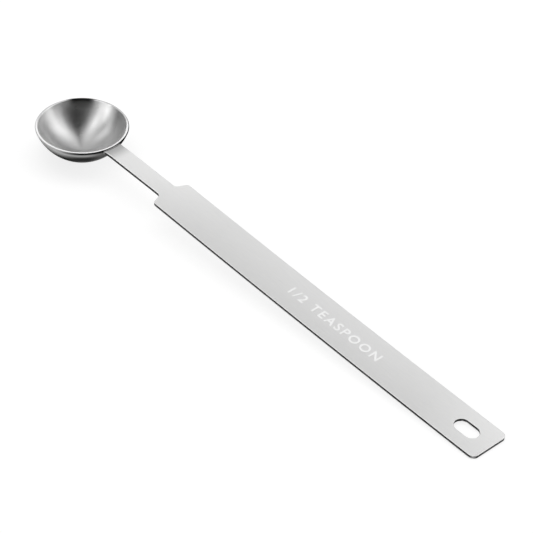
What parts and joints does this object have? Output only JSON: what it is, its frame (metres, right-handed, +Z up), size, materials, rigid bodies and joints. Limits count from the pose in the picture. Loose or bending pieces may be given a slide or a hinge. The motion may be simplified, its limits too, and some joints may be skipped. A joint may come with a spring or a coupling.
{
  "type": "measuring spoon",
  "caption": "Round stainless steel measuring spoon for a small level measure, with a flat stamped strip handle welded below the rim and a hanging slot at the handle's end",
  "frame": {"origin": "On the table plane that the bowl's underside and the handle's far end rest on, under the middle of the spoon's bounding box", "axes": "+X along the handle, from the bowl to the hanging slot; +Z up out of the bowl's mouth; +Y to the left of the handle seen from the bowl"},
  "size_m": [0.1728, 0.0266, 0.0095],
  "materials": {
    "bowl_steel": "stainless steel sheet, polished inside, with fine turning lines outside",
    "handle_steel": "satin stainless steel strip, softly blasted, with bare stamped edges",
    "weld_steel": "ground weld metal, slightly duller than the sheet"
  },
  "bodies": {
    "root": {"bowl": "bowl_steel", "handle": "handle_steel", "weld_seam": "weld_steel"}
  },
  "joints": []
}
